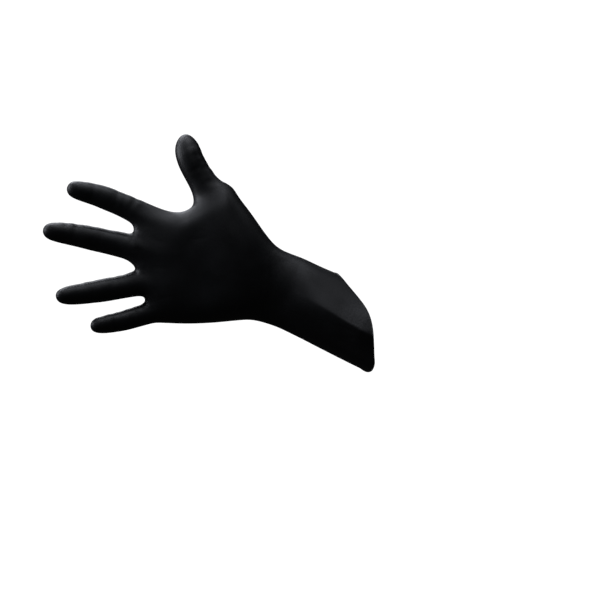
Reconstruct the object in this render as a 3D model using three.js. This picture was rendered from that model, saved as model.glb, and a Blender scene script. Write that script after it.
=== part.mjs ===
// A thin dipped nitrile exam glove in the form it takes on a spread right hand.
// Millimetres and degrees, +Z up. The fingers point to -X, the thumb up and the palm to -Y.
// The origin is the centre of the cuff's slanting mouth, where the forearm goes in.

import * as THREE from "three";

// Film and rolled edge
const filmWall = 1;
const beadDiameter = 2.4;
const beadGap = 0.3;

// Forearm sleeve. Its length is measured on its centre line, and the pull is how much longer and shorter
// the slanting edge makes it. The pull's angle goes round the sleeve from the thumb's side over the palm's.
const cuffLength = 74.5;
const cuffPull = 35;
const cuffPullAngle = 149;
const forearmSlope = 22.5;
const wristBreadth = 60.7;
const wristDepth = 44;
const mouthBreadth = 67.3;
const mouthDepth = 52;

// Palm
const palmLength = 104;
const palmBreadth = 97;
const palmDepth = 31;
const handSlope = 8.4;

// Fingers, each from its web to its tip
const indexLength = 67;
const middleLength = 78;
const ringLength = 75.5;
const littleLength = 54.4;
const fingerBreadth = 19.4;

// Thumb, from its web to its tip
const thumbLength = 60;
const thumbBreadth = 22.6;
const thumbBaseBreadth = 43.5;

// How finely the film is made. A ring round the palm has one corner at each border and twelve on each face,
// three for every finger, and each finger's ring takes its eight from them.
const ringSides = 26;
const faceCorners = 12;
const fingerSides = 8;
const beadSides = 8;
const lineSteps = 60;

// A ring of eight corners keeps this share of its breadth when it is smoothed.
const smoothedShare = 0.915;

// The palm's sections are a little squarer than ellipses, whose power is 2.
const palmSquareness = 2.4;

// How deep the fingers' and the thumb's bases are, as shares of their breadths
const fingerBaseShare = 1.19;
const thumbBaseShare = 1.16;

const radians = THREE.MathUtils.degToRad;
const mix = THREE.MathUtils.lerp;
const cosOf = (angle) => Math.cos(radians(angle));
const sinOf = (angle) => Math.sin(radians(angle));
const table = (columns, ...rows) =>
  rows.map((row) => Object.fromEntries(row.map((value, index) => [columns[index], value])));

// The forearm's line runs down towards the elbow, and the hand's line runs up towards the fingers.
const front = new THREE.Vector3(0, -1, 0);
const armLine = new THREE.Vector3(cosOf(forearmSlope), 0, -sinOf(forearmSlope));
const armSide = new THREE.Vector3(sinOf(forearmSlope), 0, cosOf(forearmSlope));
const handLine = new THREE.Vector3(-cosOf(handSlope), 0, sinOf(handSlope));
const handSide = new THREE.Vector3(sinOf(handSlope), 0, cosOf(handSlope));
const wrist = armLine.clone().multiplyScalar(-cuffLength);

// Sections of the sleeve from its edge to the wrist. Along is the share of the way from the wrist, and lift,
// a share of wristBreadth, is how far the forearm bows up from its line.
const sleeveRows = table(
  ["name", "along", "lift"],
  ["edge", 1, -0.008],
  ["edge hem", 0.93, -0.004],
  ["outer forearm", 0.76, 0.003],
  ["mid forearm", 0.56, 0.016],
  ["inner forearm", 0.36, 0.031],
  ["wrist side", 0.17, 0.03],
);

// Sections of the palm, each a slanting line from the thumb's border to the little finger's. The alongs are
// shares of palmLength, the acrosses of palmBreadth, and palm and back are depths as shares of palmDepth.
// Fan is how far the section's corners have moved from an even ellipse towards the fingers' corners.
const palmRows = table(
  ["name", "thumbAlong", "thumbAcross", "littleAlong", "littleAcross", "palm", "back", "fan"],
  ["wrist crease", -0.03, 0.34, 0.07, -0.315, 0.68, 0.66, 0],
  ["palm heel", 0.1, 0.485, 0.18, -0.345, 0.66, 0.58, 0.1],
  ["thumb mound", 0.22, 0.625, 0.29, -0.375, 0.64, 0.52, 0.2],
  ["mound top", 0.33, 0.735, 0.42, -0.41, 0.6, 0.5, 0.35],
  ["thumb knuckle", 0.41, 0.8, 0.54, -0.435, 0.56, 0.48, 0.5],
  ["mid palm", 0.55, 0.68, 0.64, -0.45, 0.54, 0.48, 0.65],
  ["thumb web", 0.68, 0.555, 0.73, -0.46, 0.53, 0.48, 0.8],
  ["knuckles", 0.84, 0.5, 0.81, -0.47, 0.5, 0.48, 1],
);

// The thumb grows out of the border between two of these sections.
const thumbFrom = palmRows.findIndex((row) => row.name === "thumb knuckle");
const thumbTo = palmRows.findIndex((row) => row.name === "thumb web");

// The fingers. Breadth is a share of fingerBreadth and web the share of that at the web. Along and across
// place the base as shares of palmLength and palmBreadth. Slopes are the angles above the level at base,
// middle and tip, and curls the angles towards the palm's side.
const fingers = table(
  ["name", "length", "breadth", "web", "along", "across", "slopes", "curls"],
  ["index", indexLength, 0.965, 1.12, 1.1, 0.452, [27.5, 20, 6], [2, 12, 20]],
  ["middle", middleLength, 1.01, 1.1, 1.125, 0.154, [13, 12, 4.5], [2, 12, 20]],
  ["ring", ringLength, 0.97, 1.15, 1.005, -0.139, [-13, -10, -5], [6, 20, 30]],
  ["little", littleLength, 0.84, 1.14, 0.9, -0.385, [-21, -13, -4], [8, 24, 34]],
);
const thumb = { along: 0.53, across: 0.68, slopes: [56.5, 57, 103], curls: [14, 12, -4] };

// Sections of a finger and of the thumb. Along is a share of the length, width and depth of the breadth.
const fingerRows = table(
  ["along", "width", "depth"],
  [0.14, 1.06, 0.98],
  [0.29, 1.02, 0.95],
  [0.44, 1.03, 0.93],
  [0.58, 0.96, 0.88],
  [0.72, 0.92, 0.84],
  [0.85, 0.83, 0.77],
  [0.955, 0.61, 0.58],
);
const thumbRows = table(
  ["along", "width", "depth"],
  [0.15, 1.13, 1.06],
  [0.32, 1.03, 0.95],
  [0.48, 1, 0.92],
  [0.64, 1.01, 0.9],
  [0.79, 0.94, 0.83],
  [0.9, 0.71, 0.7],
  [0.97, 0.5, 0.5],
);

// Broad swells and hollows of the hand under the film, each along a line. Side is 1 on the palm and -1 on
// the back. Alongs are shares of palmLength, acrosses and reach of palmBreadth, and height of palmDepth.
const swells = table(
  ["name", "side", "along", "across", "toAlong", "toAcross", "reach", "height"],
  ["thumb mound", 1, 0.14, 0.14, 0.47, 0.56, 0.19, 0.2],
  ["thumb root", 1, 0.26, 0.3, 0.4, 0.45, 0.13, 0.1],
  ["little finger mound", 1, 0.14, -0.2, 0.5, -0.32, 0.13, 0.1],
  ["palm hollow", 1, 0.52, -0.02, 0.68, 0.08, 0.14, -0.12],
  ["index knuckle", -1, 0.82, 0.33, 0.9, 0.36, 0.09, 0.06],
  ["middle knuckle", -1, 0.85, 0.11, 0.93, 0.13, 0.09, 0.07],
  ["ring knuckle", -1, 0.83, -0.12, 0.9, -0.13, 0.085, 0.06],
  ["little knuckle", -1, 0.74, -0.31, 0.8, -0.33, 0.08, 0.05],
);

// The coarse net of four-sided faces that is smoothed into the film
const points = [];
const quads = [];
const addPoint = (place) => points.push(place) - 1;

// A point of the sleeve at a distance from the wrist and an angle round it.
function sleevePoint(distance, angle, lift) {
  const share = distance / cuffLength;
  const breadth = mix(wristBreadth, mouthBreadth, share);
  const depth = mix(wristDepth, mouthDepth, share);
  return wrist.clone()
    .addScaledVector(armLine, distance)
    .addScaledVector(armSide, (breadth / 2) * cosOf(angle) + lift)
    .addScaledVector(front, (depth / 2) * sinOf(angle));
}

// How far from the wrist the cuff's edge lies at an angle round the sleeve.
const edgeDistance = (angle) => cuffLength + cuffPull * cosOf(angle - cuffPullAngle);

// A point of the hand from its distances along, across and out of the palm.
function handPoint(along, across, out) {
  return wrist.clone()
    .addScaledVector(handLine, along)
    .addScaledVector(handSide, across)
    .addScaledVector(front, out);
}

// The centre line of a finger: its place and its two cross directions at a share of its length.
function fingerLine(root, length, slopes, curls) {
  const line = [];
  const place = root.clone();
  const angleAt = (angles, share) =>
    share < 0.5 ? mix(angles[0], angles[1], share * 2) : mix(angles[1], angles[2], share * 2 - 1);
  for (let step = 0; step <= lineSteps; step++) {
    const slope = angleAt(slopes, step / lineSteps);
    const curl = angleAt(curls, step / lineSteps);
    const way = new THREE.Vector3(-cosOf(slope) * cosOf(curl), -sinOf(curl), sinOf(slope) * cosOf(curl));
    const side = new THREE.Vector3(sinOf(slope), 0, cosOf(slope));
    const out = new THREE.Vector3().crossVectors(side, way);
    line.push({ place: place.clone(), side, out });
    place.addScaledVector(way, length / lineSteps);
  }
  return (share) => line[Math.round(share * lineSteps)];
}

// Eight corners round a finger, from the side of the thumb over the palm's side.
function fingerSection(station, width, depth) {
  return Array.from({ length: fingerSides }, (_, corner) => {
    const angle = (360 / fingerSides) * corner;
    return station.place.clone()
      .addScaledVector(station.side, (width / 2 / smoothedShare) * cosOf(angle))
      .addScaledVector(station.out, (depth / 2 / smoothedShare) * sinOf(angle));
  });
}

function joinRings(ring, next) {
  ring.forEach((corner, index) => {
    const after = (index + 1) % ring.length;
    quads.push([corner, next[index], next[after], ring[after]]);
  });
}

// Closes a ring of eight round one point at the tip.
function closeTip(ring, tip) {
  for (let corner = 0; corner < fingerSides; corner += 2) {
    quads.push([ring[corner], tip, ring[(corner + 2) % fingerSides], ring[corner + 1]]);
  }
}

function addDigit(base, lineAt, rows, breadth) {
  let ring = base;
  for (const row of rows) {
    const section = fingerSection(lineAt(row.along), breadth * row.width, breadth * row.depth);
    const next = section.map(addPoint);
    joinRings(ring, next);
    ring = next;
  }
  closeTip(ring, addPoint(lineAt(1).place));
}

const sleeveRings = sleeveRows.map((row) =>
  Array.from({ length: ringSides }, (_, corner) => {
    const angle = (360 / ringSides) * corner;
    return addPoint(sleevePoint(edgeDistance(angle) * row.along, angle, row.lift * wristBreadth));
  }),
);

// The fingers' bases, whose outer corners close the palm
const bases = fingers.map((finger) => {
  const root = handPoint(finger.along * palmLength, finger.across * palmBreadth, 0);
  const breadth = fingerBreadth * finger.breadth;
  const lineAt = fingerLine(root, finger.length, finger.slopes, finger.curls);
  const ring = fingerSection(lineAt(0), breadth * finger.web, breadth * fingerBaseShare).map(addPoint);
  return { breadth, lineAt, ring };
});
const palmEnd = [
  bases.at(0).ring[0],
  ...bases.flatMap(({ ring }) => ring.slice(1, 4)),
  bases.at(-1).ring[4],
  ...bases.toReversed().flatMap(({ ring }) => ring.slice(5, 8)),
];

// How far across each corner of the palm's end lies, as a share from the thumb's border
const endAcross = palmEnd.map((corner) => points[corner].clone().sub(wrist).dot(handSide));
const endBreadth = endAcross[0] - endAcross[faceCorners + 1];
const endShares = endAcross.map((across) => (endAcross[0] - across) / endBreadth);

function palmSection(row) {
  return Array.from({ length: ringSides }, (_, corner) => {
    const angle = (360 / ringSides) * corner;
    const share = mix((1 - cosOf(angle)) / 2, endShares[corner], row.fan);
    const along = mix(row.thumbAlong, row.littleAlong, share) * palmLength;
    const across = mix(row.thumbAcross, row.littleAcross, share) * palmBreadth;
    const fullness = Math.sqrt(Math.max(0, 1 - Math.abs(2 * share - 1) ** palmSquareness));
    const depth = sinOf(angle) >= 0 ? row.palm : -row.back;
    return handPoint(along, across, depth * palmDepth * fullness);
  });
}
const palmRings = palmRows.map((row) => palmSection(row).map(addPoint));

// The thumb's base takes eight corners of the palm's border and moves them onto its own section.
const thumbRoot = handPoint(thumb.along * palmLength, thumb.across * palmBreadth, 0);
const thumbLineAt = fingerLine(thumbRoot, thumbLength, thumb.slopes, thumb.curls);
const thumbRings = palmRings.slice(thumbFrom, thumbTo + 1);
const thumbBase = [
  palmRings[thumbFrom][0],
  ...thumbRings.map((ring) => ring.at(1)),
  palmRings[thumbTo][0],
  ...thumbRings.toReversed().map((ring) => ring.at(-1)),
];
const thumbSection = fingerSection(
  thumbLineAt(0),
  thumbBaseBreadth * smoothedShare,
  thumbBreadth * thumbBaseShare * smoothedShare,
);
thumbSection.forEach((place, corner) => points[thumbBase[corner]].copy(place));

// Skins the sleeve and the palm, and leaves out the four faces that the thumb opens.
const rings = [...sleeveRings, ...palmRings, palmEnd];
for (let index = 0; index + 1 < rings.length; index++) joinRings(rings[index], rings[index + 1]);
const insideThumb = palmRings[thumbFrom + 1][0];
const kept = quads.filter((quad) => !quad.includes(insideThumb));
quads.length = 0;
quads.push(...kept);

// The webs between neighbouring fingers, one face on the palm's side and one on the back
for (let index = 0; index + 1 < bases.length; index++) {
  const above = bases[index].ring;
  const below = bases[index + 1].ring;
  quads.push([above[3], above[4], below[0], below[1]]);
  quads.push([above[4], above[5], below[7], below[0]]);
}

for (const { breadth, lineAt, ring } of bases) addDigit(ring, lineAt, fingerRows, breadth);
addDigit(thumbBase, thumbLineAt, thumbRows, thumbBreadth);

// One step of Catmull-Clark smoothing. The cuff's edge is the only border and is smoothed along itself.
function smoothed(corners, faces) {
  const made = corners.map(() => new THREE.Vector3());
  const add = (place) => made.push(place) - 1;
  const centres = faces.map((face) => {
    const centre = new THREE.Vector3();
    face.forEach((corner) => centre.addScaledVector(corners[corner], 1 / face.length));
    return add(centre);
  });
  const edges = new Map();
  const keyOf = (from, to) => `${Math.min(from, to)} ${Math.max(from, to)}`;
  faces.forEach((face, faceIndex) => {
    face.forEach((from, index) => {
      const to = face[(index + 1) % face.length];
      const key = keyOf(from, to);
      if (!edges.has(key)) edges.set(key, { ends: [from, to], faces: [] });
      edges.get(key).faces.push(faceIndex);
    });
  });
  const around = corners.map(() => ({ faces: new Set(), middles: [], border: [] }));
  for (const edge of edges.values()) {
    const middle = corners[edge.ends[0]].clone().lerp(corners[edge.ends[1]], 0.5);
    const place = middle.clone();
    if (edge.faces.length === 2) {
      place.multiplyScalar(0.5);
      edge.faces.forEach((faceIndex) => place.addScaledVector(made[centres[faceIndex]], 0.25));
    }
    edge.point = add(place);
    for (const end of edge.ends) {
      around[end].middles.push(middle);
      if (edge.faces.length === 1) around[end].border.push(middle);
      edge.faces.forEach((faceIndex) => around[end].faces.add(faceIndex));
    }
  }
  corners.forEach((corner, index) => {
    const near = around[index];
    const count = near.middles.length;
    if (near.border.length === 2) {
      made[index].copy(corner).multiplyScalar(0.5);
      near.border.forEach((middle) => made[index].addScaledVector(middle, 0.25));
    } else if (count > 0) {
      made[index].copy(corner).multiplyScalar((count - 3) / count);
      near.middles.forEach((middle) => made[index].addScaledVector(middle, 2 / count ** 2));
      near.faces.forEach((face) => made[index].addScaledVector(made[centres[face]], 1 / count ** 2));
    }
  });
  const pointOn = (from, to) => edges.get(keyOf(from, to)).point;
  const madeFaces = faces.flatMap((face, faceIndex) =>
    face.map((corner, index) => {
      const before = face.at(index - 1);
      const after = face[(index + 1) % face.length];
      return [corner, pointOn(corner, after), centres[faceIndex], pointOn(before, corner)];
    }),
  );
  return { corners: made, faces: madeFaces };
}

function normalsOf(corners, faces) {
  const normals = corners.map(() => new THREE.Vector3());
  for (const [a, b, c, d] of faces) {
    const diagonal = corners[c].clone().sub(corners[a]);
    const normal = diagonal.cross(corners[d].clone().sub(corners[b]));
    for (const corner of [a, b, c, d]) normals[corner].add(normal);
  }
  return normals.map((normal) => normal.normalize());
}

// Moves the smooth surface towards the palm's side or the back by the swells of the hand beneath it.
function swell(corners, faces) {
  const normals = normalsOf(corners, faces);
  return corners.map((corner, index) => {
    const offset = corner.clone().sub(wrist);
    const here = new THREE.Vector3(offset.dot(handLine), offset.dot(handSide), 0);
    const moved = corner.clone();
    for (const one of swells) {
      const from = new THREE.Vector3(one.along * palmLength, one.across * palmBreadth, 0);
      const to = new THREE.Vector3(one.toAlong * palmLength, one.toAcross * palmBreadth, 0);
      const nearest = new THREE.Line3(from, to).closestPointToPoint(here, true, new THREE.Vector3());
      const far = nearest.distanceTo(here) / (one.reach * palmBreadth);
      const facing = Math.max(0, one.side * normals[index].dot(front));
      const height = one.height * palmDepth * facing * Math.exp(-(far ** 2));
      moved.addScaledVector(front, one.side * height);
    }
    return moved;
  });
}

// The corners of the cuff's edge in order: those on sides of faces that no other face shares.
function edgeCorners(faces) {
  const sides = faces.flatMap((face) => face.map((corner, index) => [corner, face[(index + 1) % 4]]));
  const known = new Set(sides.map(([from, to]) => `${from} ${to}`));
  const nextOf = new Map(sides.filter(([from, to]) => !known.has(`${to} ${from}`)));
  const loop = [nextOf.keys().next().value];
  while (loop.length < nextOf.size) loop.push(nextOf.get(loop.at(-1)));
  return loop;
}

// A mesh from four-sided faces, without the corners that no face uses.
function geometryOf(corners, faces) {
  const used = [...new Set(faces.flat())];
  const order = new Map(used.map((corner, index) => [corner, index]));
  const places = used.flatMap((corner) => corners[corner].toArray());
  const triangles = faces.flatMap(([a, b, c, d]) => [a, b, c, a, c, d]);
  const geometry = new THREE.BufferGeometry();
  geometry.setAttribute("position", new THREE.Float32BufferAttribute(places, 3));
  geometry.setIndex(triangles.map((corner) => order.get(corner)));
  geometry.computeVertexNormals();
  return geometry;
}

const outer = smoothed(points, quads);
outer.corners = swell(outer.corners, outer.faces);
const outerNormals = normalsOf(outer.corners, outer.faces);
const cuffEdge = edgeCorners(outer.faces);

// The film: the outer surface, the same surface one wall further in, and the cut edge between them.
function filmGeometry() {
  const count = outer.corners.length;
  const inner = outer.corners.map((corner, index) =>
    corner.clone().addScaledVector(outerNormals[index], -filmWall),
  );
  const faces = [
    ...outer.faces,
    ...outer.faces.map((face) => face.map((corner) => corner + count).toReversed()),
    ...cuffEdge.map((corner, index) => {
      const next = cuffEdge[(index + 1) % cuffEdge.length];
      return [next, corner, corner + count, next + count];
    }),
  ];
  return geometryOf([...outer.corners, ...inner], faces);
}

// The rolled bead: a round ring beyond the cuff's edge, flush with the film's inner surface.
function beadGeometry() {
  const radius = beadDiameter / 2;
  const corners = [];
  const faces = [];
  cuffEdge.forEach((corner, index) => {
    const nextIndex = (index + 1) % cuffEdge.length;
    const before = outer.corners[cuffEdge.at(index - 1)];
    const after = outer.corners[cuffEdge[nextIndex]];
    const way = after.clone().sub(before).normalize();
    const outward = outerNormals[corner].clone();
    outward.addScaledVector(way, -outward.dot(way)).normalize();
    const beyond = new THREE.Vector3().crossVectors(way, outward);
    const centre = outer.corners[corner].clone()
      .addScaledVector(outward, radius - filmWall)
      .addScaledVector(beyond, radius + beadGap);
    for (let side = 0; side < beadSides; side++) {
      const angle = (360 / beadSides) * side;
      corners.push(centre.clone()
        .addScaledVector(outward, radius * cosOf(angle))
        .addScaledVector(beyond, radius * sinOf(angle)));
      const ring = index * beadSides;
      const nextRing = nextIndex * beadSides;
      const nextSide = (side + 1) % beadSides;
      faces.push([ring + side, ring + nextSide, nextRing + nextSide, nextRing + side]);
    }
  });
  return geometryOf(corners, faces);
}

const filmNitrile = new THREE.MeshStandardMaterial({ color: 0x0c0c0d, roughness: 0.55, metalness: 0 });
const beadNitrile = new THREE.MeshStandardMaterial({ color: 0x0a0a0b, roughness: 0.5, metalness: 0 });

const film = new THREE.Mesh(filmGeometry(), filmNitrile);
film.name = "glove_film";
const bead = new THREE.Mesh(beadGeometry(), beadNitrile);
bead.name = "cuff_bead";

const glove = new THREE.Group();
glove.add(film, bead);

export default glove;
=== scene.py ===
import math

import bmesh
import bpy
import numpy as np
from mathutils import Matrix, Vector, noise


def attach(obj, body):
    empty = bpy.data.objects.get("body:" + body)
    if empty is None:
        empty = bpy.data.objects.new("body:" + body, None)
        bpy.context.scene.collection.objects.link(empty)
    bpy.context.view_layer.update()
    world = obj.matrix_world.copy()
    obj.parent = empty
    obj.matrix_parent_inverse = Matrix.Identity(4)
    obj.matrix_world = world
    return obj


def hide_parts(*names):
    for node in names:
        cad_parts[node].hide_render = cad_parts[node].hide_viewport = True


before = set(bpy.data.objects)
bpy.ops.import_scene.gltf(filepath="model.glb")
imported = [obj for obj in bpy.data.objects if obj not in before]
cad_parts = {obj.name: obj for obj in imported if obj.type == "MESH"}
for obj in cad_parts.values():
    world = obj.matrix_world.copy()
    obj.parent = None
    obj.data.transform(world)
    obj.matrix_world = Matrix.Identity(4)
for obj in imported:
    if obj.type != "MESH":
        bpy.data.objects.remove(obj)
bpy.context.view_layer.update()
mm = 0.001

# Camera: the photograph's view, straight at the palm's side

cameraSet = {
    "place": (-0.0401, -1.5, 0.0158),
    "lens": 106.5,
    "sensor": 36,
}
camera = bpy.data.objects.new("camera", bpy.data.cameras.new("camera"))
camera.data.lens = cameraSet["lens"]
camera.data.sensor_width = cameraSet["sensor"]
camera.location = cameraSet["place"]
camera.rotation_euler = (math.radians(90), 0, 0)
bpy.context.scene.collection.objects.link(camera)
bpy.context.scene.camera = camera
bpy.context.scene.view_settings.view_transform = "Standard"
print("camera placed")


# The film's sizes in millimetres and degrees

film = {
    "cuffLength": 74.5,
    "cuffPull": 35,
    "cuffPullAngle": 149,
    "cuffCorner": 7.5,  # how much further the film reaches on the thumb's side
    "cuffCornerAngle": 30,
    "forearmSlope": 22.5,
    "wristBreadth": 60.7,
    "wristDepth": 44,
    "mouthBreadth": 67.3,
    "mouthDepth": 52,
    "palmLength": 104,
    "palmBreadth": 97,
    "palmDepth": 31,
    "palmSquareness": 2.4,
    "handSlope": 8.4,
    "fingerBreadth": 19.4,
    "fingerBaseDepth": 1.19,
    "thumbBreadth": 22.6,
    "thumbBaseBreadth": 43.5,
    "thumbBaseDepth": 1.16,
    "thumbForward": -1,
    "thumbSaddle": ((2, 5), (3, 2.5)),  # corners of the sections beside the thumb, and how much they rise
    "ringSides": 26,
    "lineSteps": 60,
    "smoothedShare": 0.893,  # what smoothing keeps of the breadth of a ring of eight
    "tipReach": 1.4,  # what smoothing takes off each tip
    "smoothSteps": 3,
    "thickness": 0.35,
    # along and lift of the sleeve's sections
    "sleeveRows": ((1, -0.008), (0.93, -0.004), (0.76, 0.003), (0.56, 0.016), (0.36, 0.031), (0.17, 0.03)),
    # thumb along, thumb across, little along, little across, palm, back and fan of the palm's sections
    "palmRows": (
        (-0.03, 0.34, 0.07, -0.315, 0.68, 0.66, 0),
        (0.1, 0.485, 0.18, -0.345, 0.66, 0.58, 0.1),
        (0.22, 0.625, 0.29, -0.375, 0.64, 0.52, 0.2),
        (0.33, 0.735, 0.42, -0.41, 0.6, 0.5, 0.35),
        (0.41, 0.8, 0.54, -0.435, 0.56, 0.48, 0.5),
        (0.55, 0.68, 0.64, -0.45, 0.54, 0.48, 0.65),
        (0.68, 0.555, 0.73, -0.46, 0.53, 0.48, 0.8),
        (0.84, 0.5, 0.81, -0.47, 0.5, 0.48, 1),
    ),
    "thumbRow": 4,  # the first of the three sections that the thumb's base takes corners of
    # along, width and depth of a finger's and the thumb's sections
    "fingerRows": ((0.14, 1.06, 0.98), (0.29, 1.02, 0.95), (0.44, 1.03, 0.93), (0.58, 0.96, 0.88),
                   (0.72, 0.92, 0.84), (0.85, 0.83, 0.77), (0.955, 0.61, 0.58)),
    "thumbRows": ((0.15, 1.13, 1.06), (0.32, 1.03, 0.95), (0.48, 1, 0.92), (0.64, 1.01, 0.91),
                  (0.79, 0.97, 0.79), (0.9, 0.71, 0.6), (0.97, 0.42, 0.4)),
    # side, along, across, to along, to across, reach and height of the swells of the hand
    "swells": (
        (1, 0.14, 0.14, 0.4, 0.46, 0.25, 0.12),
        (1, 0.14, -0.2, 0.5, -0.32, 0.16, 0.07),
        (1, 0.52, -0.02, 0.68, 0.08, 0.18, -0.05),
        (1, -0.08, 0.2, -0.1, -0.26, 0.27, -0.16),
        (1, 1.05, 0.53, 0.8, 0.6, 0.14, -0.13),
        (-1, 0.82, 0.33, 0.9, 0.36, 0.09, 0.06),
        (-1, 0.85, 0.11, 0.93, 0.13, 0.09, 0.07),
        (-1, 0.83, -0.12, 0.9, -0.13, 0.085, 0.06),
        (-1, 0.74, -0.31, 0.8, -0.33, 0.08, 0.05),
    ),
}

# The digits: lengths in millimetres, angles at base, middle and tip in degrees, and the rest as shares
digits = {
    "index": {"length": 66.4, "breadth": 0.975, "web": 1.12, "along": 1.1, "across": 0.456,
              "slopes": (27.5, 20, 6), "curls": (-4, 6, 14), "joints": (0.33, 0.65)},
    "middle": {"length": 77.4, "breadth": 1.02, "web": 1.1, "along": 1.125, "across": 0.154,
               "slopes": (13, 12, 4.5), "curls": (-2, 8, 16), "joints": (0.36, 0.67)},
    "ring": {"length": 75.5, "breadth": 0.97, "web": 1.15, "along": 1.005, "across": -0.139,
             "slopes": (-13, -10, -5), "curls": (6, 20, 30), "joints": (0.35, 0.66)},
    "little": {"length": 54.4, "breadth": 0.84, "web": 1.14, "along": 0.9, "across": -0.385,
               "slopes": (-21, -13, -4), "curls": (8, 24, 34), "joints": (0.33, 0.64)},
    "thumb": {"length": 62.1, "along": 0.53, "across": 0.68,
              "slopes": (57, 60, 96), "curls": (-11, 3, -34), "joints": (0.46,)},
}


def cosOf(angle):
    return math.cos(math.radians(angle))


def sinOf(angle):
    return math.sin(math.radians(angle))


def mix(low, high, share):
    return low + (high - low) * share


front = Vector((0, -1, 0))
armLine = Vector((cosOf(film["forearmSlope"]), 0, -sinOf(film["forearmSlope"])))
armSide = Vector((sinOf(film["forearmSlope"]), 0, cosOf(film["forearmSlope"])))
handLine = Vector((-cosOf(film["handSlope"]), 0, sinOf(film["handSlope"])))
handSide = Vector((sinOf(film["handSlope"]), 0, cosOf(film["handSlope"])))
wrist = armLine * -film["cuffLength"]


def sleevePoint(distance, angle, lift):
    share = distance / film["cuffLength"]
    breadth = mix(film["wristBreadth"], film["mouthBreadth"], share)
    depth = mix(film["wristDepth"], film["mouthDepth"], share)
    across = breadth / 2 * cosOf(angle) + lift * film["wristBreadth"]
    return wrist + armLine * distance + armSide * across + front * (depth / 2 * sinOf(angle))


def sleeveSection(along, lift):
    places = []
    for corner in range(film["ringSides"]):
        angle = 360 / film["ringSides"] * corner
        edge = film["cuffLength"] + film["cuffPull"] * cosOf(angle - film["cuffPullAngle"])
        edge += film["cuffCorner"] * max(0, cosOf(angle - film["cuffCornerAngle"]))
        places.append(sleevePoint(edge * along, angle, lift))
    return places


def handPoint(along, across, out):
    return wrist + handLine * along + handSide * across + front * out


def digitBreadth(name):
    return film["thumbBreadth"] if name == "thumb" else film["fingerBreadth"] * digits[name]["breadth"]


def digitLine(name):  # the digit's stations from base to tip: place, way, side and out
    digit = digits[name]
    slopes, curls = digit["slopes"], digit["curls"]
    out = film["thumbForward"] if name == "thumb" else 0
    place = handPoint(digit["along"] * film["palmLength"], digit["across"] * film["palmBreadth"], out)
    stations = []
    for step in range(film["lineSteps"] + 1):
        share = step / film["lineSteps"]
        part = (0, 1, share * 2) if share < 0.5 else (1, 2, share * 2 - 1)
        slope = mix(slopes[part[0]], slopes[part[1]], part[2])
        curl = mix(curls[part[0]], curls[part[1]], part[2])
        way = Vector((-cosOf(slope) * cosOf(curl), -sinOf(curl), sinOf(slope) * cosOf(curl)))
        side = Vector((sinOf(slope), 0, cosOf(slope)))
        stations.append((place.copy(), way, side, side.cross(way)))
        place += way * (digit["length"] / film["lineSteps"])
    return stations


def digitSection(station, width, depth):
    place, _, side, out = station
    corners = [45 * corner for corner in range(8)]
    return [place + side * (width / 2 * cosOf(a)) + out * (depth / 2 * sinOf(a)) for a in corners]


digitLines = {name: digitLine(name) for name in digits}


# The coarse cage, grown ring by ring from the cuff's edge

def loopEdges(cage, loop):
    return [cage.edges.get(pair) for pair in zip(loop, loop[1:] + loop[:1])]


def growEdges(cage, edges, corners):  # the new corners, each beside an old one
    grown = bmesh.ops.extrude_edge_only(cage, edges=edges)["geom"]
    fresh = {part for part in grown if isinstance(part, bmesh.types.BMVert)}
    return [next(e.other_vert(v) for e in v.link_edges if e.other_vert(v) in fresh) for v in corners]


def growLoop(cage, loop, places):
    new = growEdges(cage, loopEdges(cage, loop), loop)
    for vert, place in zip(new, places):
        vert.co = place
    return new


def closeTip(cage, loop, place):  # four faces round one point
    cap = bmesh.ops.contextual_create(cage, geom=loopEdges(cage, loop))["faces"]
    tip = bmesh.ops.poke(cage, faces=cap)["verts"][0]
    tip.co = place
    bmesh.ops.dissolve_edges(cage, edges=[cage.edges.get((tip, vert)) for vert in loop[1::2]])


def growDigit(cage, loop, name, rows):
    line = digitLines[name]
    size = digitBreadth(name) / film["smoothedShare"]
    for along, width, depth in rows:
        station = line[round(along * film["lineSteps"])]
        loop = growLoop(cage, loop, digitSection(station, size * width, size * depth))
    closeTip(cage, loop, line[-1][0] + line[-1][1] * film["tipReach"])


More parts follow.
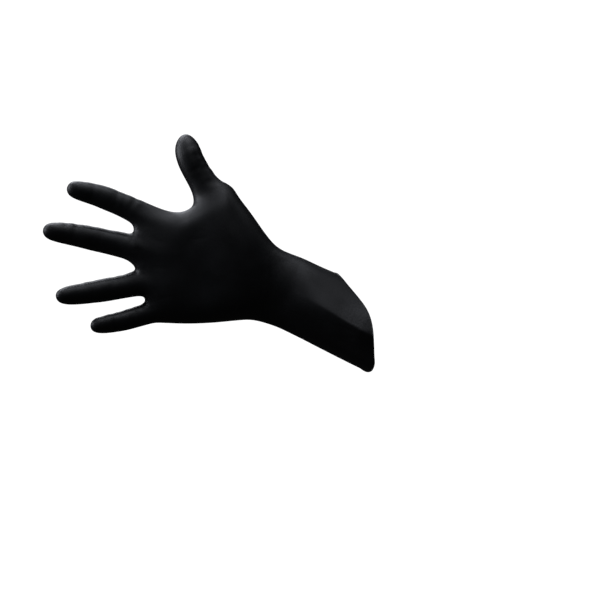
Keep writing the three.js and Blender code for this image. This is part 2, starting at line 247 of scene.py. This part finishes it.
def makeCage():
    cage = bmesh.new()
    sides = film["ringSides"]
    places = sleeveSection(*film["sleeveRows"][0])
    loop = bmesh.ops.create_circle(cage, segments=sides, radius=1)["verts"]
    for vert, place in zip(loop, places):
        vert.co = place
    for row in film["sleeveRows"][1:]:
        loop = growLoop(cage, loop, sleeveSection(*row))

    # the fingers' bases close the palm, three corners of each on either face
    names = ["index", "middle", "ring", "little"]
    bases = {}
    for name in names:
        size = digitBreadth(name) / film["smoothedShare"]
        width, depth = size * digits[name]["web"], size * film["fingerBaseDepth"]
        bases[name] = digitSection(digitLines[name][0], width, depth)
    endPlaces = [bases["index"][0]]
    for name in names:
        endPlaces += bases[name][1:4]
    endPlaces.append(bases["little"][4])
    for name in reversed(names):
        endPlaces += bases[name][5:8]
    across = [(place - wrist).dot(handSide) for place in endPlaces]
    endShares = [(across[0] - here) / (across[0] - across[sides // 2]) for here in across]

    palmLoops = []
    for thumbAlong, thumbAcross, littleAlong, littleAcross, palm, back, fan in film["palmRows"]:
        places = []
        for corner in range(sides):
            angle = 360 / sides * corner
            share = mix((1 - cosOf(angle)) / 2, endShares[corner], fan)
            fullness = math.sqrt(max(0, 1 - abs(2 * share - 1) ** film["palmSquareness"]))
            depth = palm if sinOf(angle) >= 0 else -back
            places.append(handPoint(
                mix(thumbAlong, littleAlong, share) * film["palmLength"],
                mix(thumbAcross, littleAcross, share) * film["palmBreadth"],
                depth * film["palmDepth"] * fullness,
            ))
        loop = growLoop(cage, loop, places)
        palmLoops.append(loop)
    loop = growLoop(cage, loop, endPlaces)

    # webs: one face on the palm's side and one on the back, between neighbouring fingers
    ends = {name: [None] * 8 for name in names}
    ends["index"][0], ends["little"][4] = loop[0], loop[sides // 2]
    for order, name in enumerate(names):
        ends[name][1:4] = loop[1 + 3 * order:4 + 3 * order]
        back = sides // 2 + 1 + 3 * (3 - order)
        ends[name][5:8] = loop[back:back + 3]
    for above, below in zip(names, names[1:]):
        palmCorners = (ends[above][3], ends[below][1])
        grown = growEdges(cage, [cage.edges.get(palmCorners)], palmCorners)
        for name, corner, vert in zip((above, below), (4, 0), grown):
            vert.co = bases[name][corner]
            ends[name][corner] = vert
        backEdge = cage.edges.get((ends[above][5], ends[below][7]))
        webEdge = cage.edges.get((ends[above][4], ends[below][0]))
        bmesh.ops.contextual_create(cage, geom=[backEdge, webEdge])

    # the thumb takes eight corners round a hole in the palm's border
    first = film["thumbRow"]
    thumbLoops = palmLoops[first:first + 3]
    thumbBase = [thumbLoops[0][0]] + [ring[1] for ring in thumbLoops]
    thumbBase += [thumbLoops[2][0]] + [ring[-1] for ring in reversed(thumbLoops)]
    bmesh.ops.delete(cage, geom=[thumbLoops[1][0]], context="VERTS")
    width, depth = film["thumbBaseBreadth"], film["thumbBreadth"] * film["thumbBaseDepth"]
    for vert, place in zip(thumbBase, digitSection(digitLines["thumb"][0], width, depth)):
        vert.co = place
    for ring in thumbLoops:
        for corner, rise in film["thumbSaddle"]:
            ring[corner].co += front * rise

    for name in names:
        growDigit(cage, ends[name], name, film["fingerRows"])
    growDigit(cage, thumbBase, "thumb", film["thumbRows"])
    bmesh.ops.recalc_face_normals(cage, faces=cage.faces)
    return cage


def newObject(name, mesh):
    made = bpy.data.objects.new(name, mesh)
    bpy.context.scene.collection.objects.link(made)
    return made


cage = makeCage()
cageMesh = bpy.data.meshes.new("cage")
cage.to_mesh(cageMesh)
cage.free()
cageObject = newObject("cage", cageMesh)
smoothing = cageObject.modifiers.new("smoothing", "SUBSURF")
smoothing.levels = smoothing.render_levels = film["smoothSteps"]
depsgraph = bpy.context.evaluated_depsgraph_get()
filmMesh = bpy.data.meshes.new_from_object(cageObject.evaluated_get(depsgraph))
bpy.data.objects.remove(cageObject)
print("film smoothed from its cage:", len(filmMesh.polygons), "faces")


# Where each point of the film lies: on the hand, on the sleeve and on the nearest digit

def readVectors(source, name):
    values = np.zeros(len(source) * 3, np.float32)
    source.foreach_get(name, values)
    return values.reshape(-1, 3).astype(float)


places = readVectors(filmMesh.vertices, "co")
normals = readVectors(filmMesh.vertex_normals, "vector")
if np.sum(normals[:, 0] * (places[:, 0] - places[:, 0].mean())) < 0:
    filmMesh.flip_normals()
    normals = -normals
fromWrist = places - np.array(wrist)
palmFacing = np.clip(-normals[:, 1], 0, 1)
backFacing = np.clip(normals[:, 1], 0, 1)
along = fromWrist @ np.array(handLine)
across = fromWrist @ np.array(handSide)
armReach = fromWrist @ np.array(armLine)
armAngle = np.degrees(np.arctan2(
    -places[:, 1] / film["wristDepth"], fromWrist @ np.array(armSide) / film["wristBreadth"]))
# distance round the sleeve from the thumb's side
armRound = armAngle * math.radians(film["wristBreadth"] / 2)


def nearDigit(name):  # share of the digit's length, distance from its line, and places sideways and outwards
    centres, ways, sides, outs = (np.array(part) for part in zip(*digitLines[name]))
    gaps = ((places[:, None, :] - centres[None, :, :]) ** 2).sum(2)
    nearest = gaps.argmin(1)
    offset = places - centres[nearest]
    way, side, out = ((offset * part[nearest]).sum(1) for part in (ways, sides, outs))
    share = nearest / film["lineSteps"] + way / digits[name]["length"]
    return share, np.sqrt(gaps.min(1)), side, out


def smoothStep(low, high, value):
    share = np.clip((value - low) / (high - low), 0, 1)
    return share * share * (3 - 2 * share)


def lineGap(u, v, start, end, bow=0):  # distance from a bowed line, and the share of the way along it
    du, dv = end[0] - start[0], end[1] - start[1]
    length = math.hypot(du, dv)
    share = np.clip(((u - start[0]) * du + (v - start[1]) * dv) / length ** 2, 0, 1)
    bend = bow * 4 * share * (1 - share) / length
    return np.hypot(u - start[0] - share * du + bend * dv, v - start[1] - share * dv - bend * du), share


digitPlace = {name: nearDigit(name) for name in digits}
nearestDigit = np.array([gap for _, gap, _, _ in digitPlace.values()]).argmin(0)

# The swells of the hand under the film
swellShift = np.zeros(len(places))
for side, fromAlong, fromAcross, toAlong, toAcross, reach, height in film["swells"]:
    start = (fromAlong * film["palmLength"], fromAcross * film["palmBreadth"])
    end = (toAlong * film["palmLength"], toAcross * film["palmBreadth"])
    gap, _ = lineGap(along, across, start, end)
    facing = palmFacing if side > 0 else backFacing
    near = np.exp(-(gap / reach / film["palmBreadth"]) ** 2)
    swellShift += side * height * film["palmDepth"] * facing * near
places[:, 1] -= swellShift

# The film bridges the step between palm and thumb, so its depth is evened out there.
bridging = {
    "along": 0.5,
    "across": 0.66,
    "reach": 0.34,
    "core": 0.4,  # share of the reach that is evened out in full
    "steps": 150,
    "share": 0.5,
}
edgeEnds = np.zeros(len(filmMesh.edges) * 2, np.int32)
filmMesh.edges.foreach_get("vertices", edgeEnds)
edgeEnds = edgeEnds.reshape(-1, 2)
links = np.bincount(edgeEnds.ravel(), minlength=len(places))
bridgeGap = np.hypot(
    along - bridging["along"] * film["palmLength"], across - bridging["across"] * film["palmBreadth"])
bridged = 1 - smoothStep(bridging["core"], 1, bridgeGap / film["palmBreadth"] / bridging["reach"])
for step in range(bridging["steps"]):
    depths = places[:, 1]
    beside = np.bincount(edgeEnds[:, 0], depths[edgeEnds[:, 1]], len(places))
    beside += np.bincount(edgeEnds[:, 1], depths[edgeEnds[:, 0]], len(places))
    places[:, 1] += bridged * bridging["share"] * (beside / links - depths)

# Folds and creases of the film. A fold is a bowed line with a width and a height, in millimetres.


def fold(u, v, start, end, bow, width, height):
    gap, share = lineGap(u, v, start, end, bow)
    return height * np.sqrt(4 * share * (1 - share)) * np.exp(-(gap / width) ** 2)


# along, across, to along, to across, bow, width and height on the palm's side
palmFolds = (
    (6, 4, 78, 42, -13, 3.4, -0.2),
    (82, 42, 46, 12, 3, 2.2, -0.14),
    (64, -45, 96, 16, -7, 2.6, -0.16),
    (74, 50, 52, 26, 2, 2.2, 0.16),
    (69, 29, 54, 31.5, 0.5, 0.8, -0.25),
    (113, 28, 111, 14, 1, 2.6, 1.1),
    (107, 3, 104, -6, 1, 2.4, 0.5),
    (96, -25, 92, -33, 1, 2.2, 0.4),
    (104, 27, 88, 22, 1, 1.8, -0.2),
    (98, 0, 84, 0, -1, 1.8, -0.2),
    (90, -27, 76, -22, -1, 1.8, -0.2),
    (-5, -20, -7, 22, 2, 1.1, -0.35),
    (0, -22, -2, 24, 3, 1.3, -0.45),
    (5, -20, 4, 20, 3, 1, -0.25),
)
# the same on the back, with the tendons first
backFolds = (
    (14, 9, 86, 33, 3, 3.2, 0.5),
    (12, 3, 90, 11, 1, 3.4, 0.55),
    (12, -3, 88, -12, -1, 3.2, 0.5),
    (12, -9, 77, -31, -3, 3, 0.4),
    (86, 24, 106, 26, 1, 3, -0.4),
    (86, 0, 103, -1, 1, 3, -0.4),
    (80, -22, 93, -26, 1, 2.8, -0.35),
    (-8, -20, -10, 20, -2, 1, -0.3),
    (-3, -22, -5, 22, -2, 1.2, -0.4),
    (2, -22, 1, 20, -3, 1.1, -0.35),
    (8, -16, 7, 24, -3, 1, -0.25),
    (72, 52, 48, 34, 4, 2.2, -0.3),
    (68, 58, 38, 44, 5, 2.2, -0.3),
)
# reach, round, to reach, to round, bow, width and height on the sleeve: fine wrinkles at the wrist's corner
cornerFolds = (
    (3, 4, -3, 22, 1, 0.8, 0.3),
    (6, 3, 1, 24, 1, 0.8, 0.34),
    (9, 5, 5, 22, 1, 0.8, 0.3),
    (12, 6, 9, 20, 1, 0.8, 0.22),
    (4, -4, -2, -24, -1, 0.8, 0.3),
    (8, -3, 4, -24, -1, 0.9, 0.34),
    (12, -5, 9, -20, -1, 0.8, 0.22),
)
# The film is pulled at one point of the cuff, and folds fan out from there.
pullFan = {
    "reach": 98,
    "round": 51.5,
    "folds": 7,
    "roundFrom": 34,
    "roundTo": 66,
    "opening": (0.1, 0.85),  # how far the fan is open at the start and the end of its folds
    "scatter": 2.4,  # step of the sine that makes the folds unlike each other
    "stagger": 3,
    "length": (26, 40),
    "bow": 2,
    "width": (0.8, 1.3),
    "height": (0.14, 0.34),
    "valley": -0.8,  # every second fold is a valley
}
# Towards the cuff the film is drawn flat from the thumb's side to a ridge that runs to the pulled point.
tent = {
    "reachFrom": 12,
    "reachTo": 88,
    "ridgeFrom": 43,
    "ridgeTo": 51,
    "flattening": -9,
    "rise": 10,  # how much further forward the ridge stands at the cuff
    "riseFrom": 20,
    "riseWidth": 23,
    "ridgeHeight": 0.9,
    "ridgeWidth": (7, 3),  # at the wrist and at the cuff
}

heights = np.zeros(len(places))
for rows, u, v, facing in (
    (palmFolds, along, across, palmFacing),
    (backFolds, along, across, backFacing),
    (cornerFolds, armReach, armRound, 1),
):
    for row in rows:
        heights += fold(u, v, row[:2], row[2:4], *row[4:]) * facing
for order in range(pullFan["folds"]):
    jitter = math.sin(order * pullFan["scatter"]) / 2 + 0.5
    towards = mix(pullFan["roundFrom"], pullFan["roundTo"], order / (pullFan["folds"] - 1))
    startRound, endRound = (mix(pullFan["round"], towards, share) for share in pullFan["opening"])
    start = (pullFan["reach"] - pullFan["stagger"] * jitter, startRound)
    end = (pullFan["reach"] - mix(*pullFan["length"], 1 - jitter), endRound)
    bow = pullFan["bow"] * (jitter - 0.5)
    height = mix(*pullFan["height"], jitter) * (1 if order % 2 else pullFan["valley"])
    heights += fold(armReach, armRound, start, end, bow, mix(*pullFan["width"], jitter), height)

drawn = smoothStep(tent["reachFrom"], tent["reachTo"], armReach)
drawnShare = np.clip((armReach - tent["reachFrom"]) / (tent["reachTo"] - tent["reachFrom"]), 0, 1)
ridge = mix(tent["ridgeFrom"], tent["ridgeTo"], drawnShare)
fromTop = np.clip(armRound / ridge, 0, 1)
heights += tent["flattening"] * drawn * np.sin(math.pi * fromTop)
ridgeGap = (armRound - ridge) / mix(*tent["ridgeWidth"], drawnShare)
heights += tent["ridgeHeight"] * drawn * np.exp(-ridgeGap ** 2)
beyondRidge = 1 - smoothStep(0, 1, (armRound - ridge) / tent["riseWidth"])
riseShare = np.clip((armReach - tent["riseFrom"]) / (tent["reachTo"] - tent["riseFrom"]), 0, 1)
heights += tent["rise"] * riseShare * fromTop * beyondRidge

# Joints, pads and nails of the digits, in millimetres where it isn't a share
joint = {
    "reach": 0.8,  # how far from its line a point still belongs to a digit, as a share of the breadth
    "rootShare": 0.08,
    "creases": ((-0.9, 0.7), (1.1, 1)),  # place and strength of a joint's two creases
    "creaseBow": 0.8,
    "creaseWidth": 0.9,
    "creaseDepth": 0.34,
    "creaseSpread": 6.5,
    "padLength": 6.5,
    "padHeight": 0.35,
    "knuckleShift": -1,  # from the creases towards the digit's base
    "knuckleLength": 5.5,
    "knuckleHeight": 0.45,
    "knuckleWrinkles": (-3.4, -1.6, 0, 1.7, 3.6),
    "wrinkleSpreads": (0.71, 0.83, 0.95, 0.83, 0.71),
    "wrinkleBow": 0.35,
    "wrinkleWidth": 0.55,
    "wrinkleDepth": 0.22,
}
nail = {
    "inset": 2.5,
    "length": 11.5,
    "breadth": 0.62,
    "height": 0.3,
    "sideEdge": (-0.9, 0.5),
    "rootEdge": (-1, 1.5),
    "tipEdge": (-0.6, 0.8),
}
# Short waves of slack film, most on the side towards the thumb
wave = {
    "length": 5.5,
    "breadth": 14,
    "height": 0.9,
    "lean": 0.2,
    "most": 0.5,
    "seedStep": 7.3,  # no two digits have the same waves
}
# Where the fingertips' grip texture and the slack film's wrinkles show: lengths in millimetres, and shares
touch = {
    "gripShares": (0.45, 0.8),
    "gripEdge": 0.1,
    "jointLength": 5,
    "jointPalm": 0.4,
    "jointBack": 0.9,
    "wristLength": 13,
    "wrist": 0.8,
    "sleeveLoss": 0.6,
    "baseLength": 9,
    "base": 0.5,
    "pullLength": 34,
}


def hump(value, centre, length):
    return np.exp(-((value - centre) / length) ** 2)


def edgeStep(place, edge, value):
    return smoothStep(place + edge[0], place + edge[1], value)


grip = np.zeros(len(places))
slack = np.zeros(len(places))
for order, name in enumerate(digits):
    length, joints = digits[name]["length"], digits[name]["joints"]
    share, gap, side, out = digitPlace[name]
    breadth = digitBreadth(name)
    mine = (nearestDigit == order) & (gap < breadth * joint["reach"])
    mine = mine * smoothStep(0, joint["rootShare"], share)
    onPalm = np.clip(out / (breadth / 2), 0, 1) * mine
    onBack = np.clip(-out / (breadth / 2), 0, 1) * mine
    distance = share * length
    for at in joints:
        centre = at * length
        spread = joint["creaseSpread"]
        for shift, strength in joint["creases"]:
            crease = fold(distance, side, (centre + shift, -spread), (centre + shift, spread),
                          joint["creaseBow"], joint["creaseWidth"], -joint["creaseDepth"] * strength)
            heights += crease * onPalm
        knuckle = centre + joint["knuckleShift"]
        heights += joint["knuckleHeight"] * hump(distance, knuckle, joint["knuckleLength"]) * onBack
        for shift, spreadShare in zip(joint["knuckleWrinkles"], joint["wrinkleSpreads"]):
            reach = spread * spreadShare
            wrinkle = fold(distance, side, (knuckle + shift, -reach), (knuckle + shift, reach),
                           shift * joint["wrinkleBow"], joint["wrinkleWidth"], -joint["wrinkleDepth"])
            heights += wrinkle * onBack
        loose = touch["jointPalm"] * onPalm + touch["jointBack"] * onBack
        slack = np.maximum(slack, hump(distance, centre, touch["jointLength"]) * loose)
    for low, high in zip((0, *joints), (*joints, 1)):
        middle = (low + high) / 2 * length
        heights += joint["padHeight"] * hump(distance, middle, joint["padLength"]) * onPalm

    nailEnd = length - nail["inset"]
    nailSide = -breadth * nail["breadth"] / 2
    nailShape = edgeStep(nailSide, nail["sideEdge"], side) * edgeStep(nailSide, nail["sideEdge"], -side)
    nailShape = nailShape * edgeStep(nailEnd - nail["length"], nail["rootEdge"], distance)
    nailShape = nailShape * (1 - edgeStep(nailEnd, nail["tipEdge"], distance))
    heights += nail["height"] * nailShape * onBack
    grip = np.maximum(grip, mine * smoothStep(*touch["gripShares"], share))

    waves = np.zeros(len(places))
    for point in np.flatnonzero(mine):
        spot = (distance[point] / wave["length"], side[point] / wave["breadth"], order * wave["seedStep"])
        waves[point] = noise.noise(Vector(spot))
    heights += wave["height"] * waves * mine * np.clip(side / breadth + wave["lean"], 0, wave["most"])

# Slow unevenness of the whole film
uneven = {
    "size": 21,
    "sleeve": 0.32,
    "palm": 0.16,
    "change": (-4, 22),  # from the hand to the sleeve, along the forearm
}
onSleeve = smoothStep(*uneven["change"], armReach)
rough = np.array([noise.noise(Vector(place) / uneven["size"]) for place in places])
heights += rough * mix(uneven["palm"], uneven["sleeve"], onSleeve)

atWrist = hump(along, 0, touch["wristLength"]) * (1 - onSleeve * touch["sleeveLoss"])
atBases = hump(along, film["palmLength"], touch["baseLength"]) * (1 - smoothStep(0, touch["gripEdge"], grip))
pullGap = np.hypot(armReach - pullFan["reach"], armRound - pullFan["round"])
for loose in (touch["wrist"] * atWrist, touch["base"] * atBases, hump(pullGap, 0, touch["pullLength"])):
    slack = np.maximum(slack, loose)
places += normals * heights[:, None]
filmMesh.vertices.foreach_set("co", (places * mm).astype(np.float32).ravel())
for name, values in (("grip", grip), ("slack", slack)):
    filmMesh.attributes.new(name, "FLOAT", "POINT").data.foreach_set("value", values.astype(np.float32))
filmMesh.update()
filmMesh.shade_smooth()
gloveFilm = newObject("glove_skin", filmMesh)
thickness = gloveFilm.modifiers.new("thickness", "SOLIDIFY")
thickness.thickness = film["thickness"] * mm
thickness.offset = -1
print("film folded and creased")


# The rolled bead, grown round the film's edge

bead = {
    "radius": 0.75,
    "unevenness": 0.07,
    "unevenLength": 9,
    "beyond": 0.5,  # share of its radius that its centre lies beyond the edge
    "sides": 10,
    "lapTurn": 205,  # where round the bead the last lap of film ends in a groove
    "lapWidth": 22,
    "lapDepth": 0.13,
}


def edgeLoop(mesh):  # the corners of the mesh's one open edge in order
    shape = bmesh.new()
    shape.from_mesh(mesh)
    openEdges = [edge for edge in shape.edges if edge.is_boundary]
    last = openEdges[0]
    loop = [last.verts[0]]
    while len(loop) < len(openEdges):
        nextVert = last.other_vert(loop[-1])
        loop.append(nextVert)
        last = next(edge for edge in nextVert.link_edges if edge.is_boundary and edge is not last)
    corners = [(vert.co.copy(), vert.normal.copy()) for vert in loop]
    shape.free()
    return corners


def makeBead():
    corners = edgeLoop(filmMesh)
    shape = bmesh.new()
    first = loop = None
    for order, (corner, outward) in enumerate(corners):
        way = (corners[(order + 1) % len(corners)][0] - corners[order - 1][0]).normalized()
        outward = (outward - way * outward.dot(way)).normalized()
        beyond = way.cross(outward)
        if beyond.dot(armLine) < 0:
            beyond.negate()
        radius = bead["radius"] + bead["unevenness"] * noise.noise(corner / mm / bead["unevenLength"])
        centre = corner + (beyond * radius * bead["beyond"] - outward * film["thickness"] / 2) * mm
        places = []
        for side in range(bead["sides"]):
            turn = 360 / bead["sides"] * side
            away = min(abs(turn - bead["lapTurn"]), 360 - abs(turn - bead["lapTurn"]))
            size = radius - bead["lapDepth"] * math.exp(-(away / bead["lapWidth"]) ** 2)
            places.append(centre + (outward * cosOf(turn) + beyond * sinOf(turn)) * (size * mm))
        if loop is None:
            loop = first = bmesh.ops.create_circle(shape, segments=bead["sides"], radius=1)["verts"]
            for vert, place in zip(loop, places):
                vert.co = place
        else:
            loop = growLoop(shape, loop, places)
    bmesh.ops.bridge_loops(shape, edges=loopEdges(shape, loop) + loopEdges(shape, first))
    bmesh.ops.recalc_face_normals(shape, faces=shape.faces)
    mesh = bpy.data.meshes.new("cuff_roll")
    shape.to_mesh(mesh)
    shape.free()
    mesh.shade_smooth()
    return mesh


cuffBead = newObject("cuff_roll", makeBead())
rounding = cuffBead.modifiers.new("rounding", "SUBSURF")
rounding.levels = rounding.render_levels = 1
print("bead rolled round the cuff")


# Nitrile: near black, between matt and satin, with a fine grain that is coarser on the fingertips

nitrile = {
    "colour": (0.0058, 0.0063, 0.0078, 1),
    "paleColour": (0.012, 0.0129, 0.0152, 1),
    "roughness": (0.38, 0.46),
    "specular": 0.5,
    # size, detail and distortion of each noise
    "patches": (26, 3, 0.4),
    "grain": (0.55, 2, 0),
    "wrinkles": (2.6, 3, 1.2),
    "patchRange": (0.3, 0.7),  # values of the patches' noise that are darkest and palest
    "gripSize": 1.1,
    "grainHeight": 0.05,
    "gripHeight": 0.09,
    "wrinkleHeight": 0.2,
}


def nitrileMaterial(name, textured):
    material = bpy.data.materials.new(name)
    material.use_nodes = True
    nodes, links = material.node_tree.nodes, material.node_tree.links
    shader = nodes["Principled BSDF"]
    shader.inputs["Specular IOR Level"].default_value = nitrile["specular"]
    coordinate = nodes.new("ShaderNodeTexCoord").outputs["Object"]

    def noiseAt(size, detail, distortion):
        node = nodes.new("ShaderNodeTexNoise")
        node.inputs["Scale"].default_value = 1 / (size * mm)
        node.inputs["Detail"].default_value = detail
        node.inputs["Distortion"].default_value = distortion
        links.new(coordinate, node.inputs["Vector"])
        return node.outputs["Fac"]

    def ranged(value, low, high):
        node = nodes.new("ShaderNodeMapRange")
        links.new(value, node.inputs["Value"])
        node.inputs["From Min"].default_value, node.inputs["From Max"].default_value = nitrile["patchRange"]
        node.inputs["To Min"].default_value = low
        node.inputs["To Max"].default_value = high
        return node.outputs["Result"]

    def times(first, second):
        node = nodes.new("ShaderNodeMath")
        node.operation = "MULTIPLY"
        links.new(first, node.inputs[0])
        links.new(second, node.inputs[1])
        return node.outputs["Value"]

    def attribute(name):
        node = nodes.new("ShaderNodeAttribute")
        node.attribute_name = name
        return node.outputs["Fac"]

    def bump(height, distance, below=None):
        node = nodes.new("ShaderNodeBump")
        node.inputs["Distance"].default_value = distance * mm
        links.new(height, node.inputs["Height"])
        if below:
            links.new(below, node.inputs["Normal"])
        return node.outputs["Normal"]

    patches = noiseAt(*nitrile["patches"])
    colours = nodes.new("ShaderNodeMix")
    colours.data_type = "RGBA"
    colours.inputs["A"].default_value = nitrile["colour"]
    colours.inputs["B"].default_value = nitrile["paleColour"]
    links.new(ranged(patches, 0, 1), colours.inputs["Factor"])
    links.new(colours.outputs["Result"], shader.inputs["Base Color"])
    links.new(ranged(patches, *nitrile["roughness"]), shader.inputs["Roughness"])
    surface = bump(noiseAt(*nitrile["grain"]), nitrile["grainHeight"])
    if textured:
        grains = nodes.new("ShaderNodeTexVoronoi")
        grains.inputs["Scale"].default_value = 1 / (nitrile["gripSize"] * mm)
        links.new(coordinate, grains.inputs["Vector"])
        surface = bump(times(grains.outputs["Distance"], attribute("grip")), nitrile["gripHeight"], surface)
        wrinkles = times(noiseAt(*nitrile["wrinkles"]), attribute("slack"))
        surface = bump(wrinkles, nitrile["wrinkleHeight"], surface)
    links.new(surface, shader.inputs["Normal"])
    return material


gloveFilm.data.materials.clear()
gloveFilm.data.materials.append(nitrileMaterial("nitrile_film", True))
cuffBead.data.materials.append(nitrileMaterial("nitrile_bead", False))

for piece, node, slot in ((gloveFilm, "glove_film", "film"), (cuffBead, "cuff_bead", "bead")):
    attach(piece, "root")
    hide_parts(node)
print("nitrile on film and bead")


# Studio: a pale floor, soft lights above and a pale surround that only the camera sees at full strength

studio = {
    "floorHeight": -0.3,
    "floorSize": 40,
    "floorColour": (0.9, 0.9, 0.9, 1),
    "floorRoughness": 0.9,
    "white": (1, 1, 1, 1),
    "surround": 1.1,
    "dimSurround": 0.016,
    "aim": (-0.12, 0, 0.05),
    "lightSize": 0.7,
    "lightColour": (0.95, 0.98, 1.06),
    # place and power of each soft light
    "lights": (
        ((-0.6, 0.53, 1.08), 6.5),
        ((-0.12, 0, 1.3), 2.3),
        ((-1.33, 0, 0.37), 4.2),
        ((-1.08, 0, 0.85), 1.7),
        ((-1.01, -0.47, 0.79), 0.8),
        ((0.5, 0, 1.13), 0.6),
        ((-0.12, -0.47, 1.21), 1.1),
        ((-0.12, -0.88, 0.93), 0.3),
        ((-0.2, 1.3, 0.95), 3),
    ),
}
floorShape = bmesh.new()
bmesh.ops.create_grid(floorShape, x_segments=1, y_segments=1, size=studio["floorSize"] / 2)
bmesh.ops.translate(floorShape, verts=floorShape.verts, vec=(0, 0, studio["floorHeight"]))
floorMesh = bpy.data.meshes.new("floor")
floorShape.to_mesh(floorMesh)
floorShape.free()
floor = newObject("floor", floorMesh)
floorMaterial = bpy.data.materials.new("floor_paper")
floorMaterial.use_nodes = True
paper = floorMaterial.node_tree.nodes["Principled BSDF"]
paper.inputs["Base Color"].default_value = studio["floorColour"]
paper.inputs["Roughness"].default_value = studio["floorRoughness"]
paper.inputs["Emission Color"].default_value = studio["white"]
paper.inputs["Emission Strength"].default_value = studio["surround"]
floorMesh.materials.append(floorMaterial)
floor.visible_glossy = False
floor.visible_diffuse = False

for number, (place, power) in enumerate(studio["lights"]):
    light = bpy.data.lights.new(f"soft_light_{number + 1}", "AREA")
    light.size = studio["lightSize"]
    light.energy = power
    light.color = studio["lightColour"]
    lamp = newObject(light.name, light)
    lamp.location = place
    lamp.rotation_euler = (Vector(studio["aim"]) - Vector(place)).to_track_quat("-Z", "Y").to_euler()

world = bpy.data.worlds.new("surround")
world.use_nodes = True
bpy.context.scene.world = world
worldNodes, worldLinks = world.node_tree.nodes, world.node_tree.links
strength = worldNodes.new("ShaderNodeMapRange")
strength.inputs["To Min"].default_value = studio["dimSurround"]
strength.inputs["To Max"].default_value = studio["surround"]
worldLinks.new(worldNodes.new("ShaderNodeLightPath").outputs["Is Camera Ray"], strength.inputs["Value"])
worldLinks.new(strength.outputs["Result"], worldNodes["Background"].inputs["Strength"])
worldNodes["Background"].inputs["Color"].default_value = studio["white"]
print("studio lit")

print("finished")
